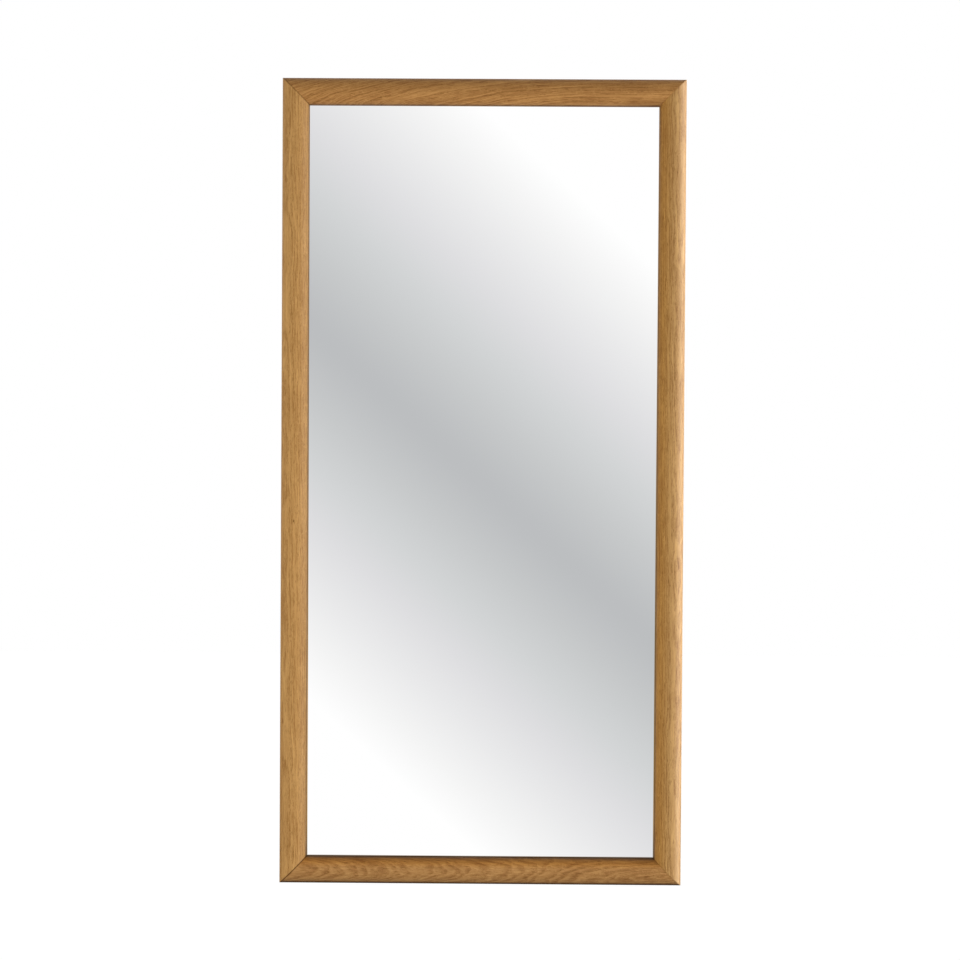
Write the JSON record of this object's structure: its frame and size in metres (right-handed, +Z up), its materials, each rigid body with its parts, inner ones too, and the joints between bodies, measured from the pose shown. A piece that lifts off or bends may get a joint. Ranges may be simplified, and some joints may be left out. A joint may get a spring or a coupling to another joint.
{
  "type": "wall mirror",
  "caption": "Tall wall mirror: flat silvered glass in a mitred, round-faced oak frame, with a back board held by turn buttons, swinging D rings and wall bumpers.",
  "frame": {"origin": "on the wall plane, behind the middle of the glass", "axes": "+Z up, +X to the right as seen from the front, +Y back into the wall; the mirror faces -Y"},
  "size_m": [0.6, 0.034, 1.2],
  "materials": {
    "oak_stile": "satin oil over straight-grained oak",
    "oak_rail": "satin oil over crown-cut oak",
    "beech": "raw pressed beech",
    "nail_steel": "bright strip steel",
    "mirror_glass": "silvered float glass, polished",
    "felt_tape": "thin brown felt",
    "block_rubber": "matte",
    "hardboard": "pressed brown board, fine fibres",
    "zinc_steel": "zinc plated, satin",
    "screw_brass": "yellow passivated, satin",
    "hanger_steel": "zinc plated, satin",
    "ring_steel": "zinc plated wire",
    "bumper_rubber": "matte moulded"
  },
  "bodies": {
    "frame": {"left_stile": "oak_stile", "right_stile": "oak_stile", "top_rail": "oak_rail", "bottom_rail": "oak_rail", "corner_biscuit_top_left": "beech", "corner_biscuit_top_right": "beech", "corner_biscuit_bottom_right": "beech", "corner_biscuit_bottom_left": "beech", "corner_v_nails": "nail_steel", "mirror_glass": "mirror_glass", "glass_tape_top": "felt_tape", "glass_tape_right": "felt_tape", "glass_tape_bottom": "felt_tape", "glass_tape_left": "felt_tape", "glass_edge_blocks": "block_rubber", "backing_board": "hardboard", "turn_button_screws": "screw_brass", "hanger_plate_left": "hanger_steel", "hanger_plate_right": "hanger_steel", "hanger_plate_top": "hanger_steel", "hanger_plate_bottom": "hanger_steel", "hanger_screws": "screw_brass", "wall_bumper_top_left": "bumper_rubber", "wall_bumper_top_right": "bumper_rubber", "wall_bumper_bottom_right": "bumper_rubber", "wall_bumper_bottom_left": "bumper_rubber"},
    "button_left_top": {"turn_button_left_top": "zinc_steel"},
    "button_left_middle": {"turn_button_left_middle": "zinc_steel"},
    "button_left_bottom": {"turn_button_left_bottom": "zinc_steel"},
    "button_right_top": {"turn_button_right_top": "zinc_steel"},
    "button_right_middle": {"turn_button_right_middle": "zinc_steel"},
    "button_right_bottom": {"turn_button_right_bottom": "zinc_steel"},
    "button_top": {"turn_button_top": "zinc_steel"},
    "button_bottom": {"turn_button_bottom": "zinc_steel"},
    "ring_left": {"hanger_ring_left": "ring_steel"},
    "ring_right": {"hanger_ring_right": "ring_steel"},
    "ring_top": {"hanger_ring_top": "ring_steel"},
    "ring_bottom": {"hanger_ring_bottom": "ring_steel"}
  },
  "joints": [
    {"name": "button_left_top_turn", "type": "hinge", "parent": "frame", "child": "button_left_top", "pos_m": [-0.284, -0.006, 0.42], "axis": [0, 1, 0], "continuous": true},
    {"name": "button_left_middle_turn", "type": "hinge", "parent": "frame", "child": "button_left_middle", "pos_m": [-0.284, -0.006, 0], "axis": [0, 1, 0], "continuous": true},
    {"name": "button_left_bottom_turn", "type": "hinge", "parent": "frame", "child": "button_left_bottom", "pos_m": [-0.284, -0.006, -0.42], "axis": [0, 1, 0], "continuous": true},
    {"name": "button_right_top_turn", "type": "hinge", "parent": "frame", "child": "button_right_top", "pos_m": [0.284, -0.006, 0.42], "axis": [0, 1, 0], "continuous": true},
    {"name": "button_right_middle_turn", "type": "hinge", "parent": "frame", "child": "button_right_middle", "pos_m": [0.284, -0.006, 0], "axis": [0, 1, 0], "continuous": true},
    {"name": "button_right_bottom_turn", "type": "hinge", "parent": "frame", "child": "button_right_bottom", "pos_m": [0.284, -0.006, -0.42], "axis": [0, 1, 0], "continuous": true},
    {"name": "button_top_turn", "type": "hinge", "parent": "frame", "child": "button_top", "pos_m": [0, -0.006, 0.584], "axis": [0, 1, 0], "continuous": true},
    {"name": "button_bottom_turn", "type": "hinge", "parent": "frame", "child": "button_bottom", "pos_m": [0, -0.006, -0.584], "axis": [0, 1, 0], "continuous": true},
    {"name": "ring_left_swing", "type": "hinge", "parent": "frame", "child": "ring_left", "pos_m": [-0.284, -0.00325, 0.3], "axis": [1, 0, 0], "range_deg": [0, 180]},
    {"name": "ring_right_swing", "type": "hinge", "parent": "frame", "child": "ring_right", "pos_m": [0.284, -0.00325, 0.3], "axis": [1, 0, 0], "range_deg": [0, 180]},
    {"name": "ring_top_swing", "type": "hinge", "parent": "frame", "child": "ring_top", "pos_m": [-0.15, -0.00325, 0.584], "axis": [0, 0, 1], "range_deg": [0, 180]},
    {"name": "ring_bottom_swing", "type": "hinge", "parent": "frame", "child": "ring_bottom", "pos_m": [-0.15, -0.00325, -0.584], "axis": [0, 0, 1], "range_deg": [0, 180]}
  ]
}
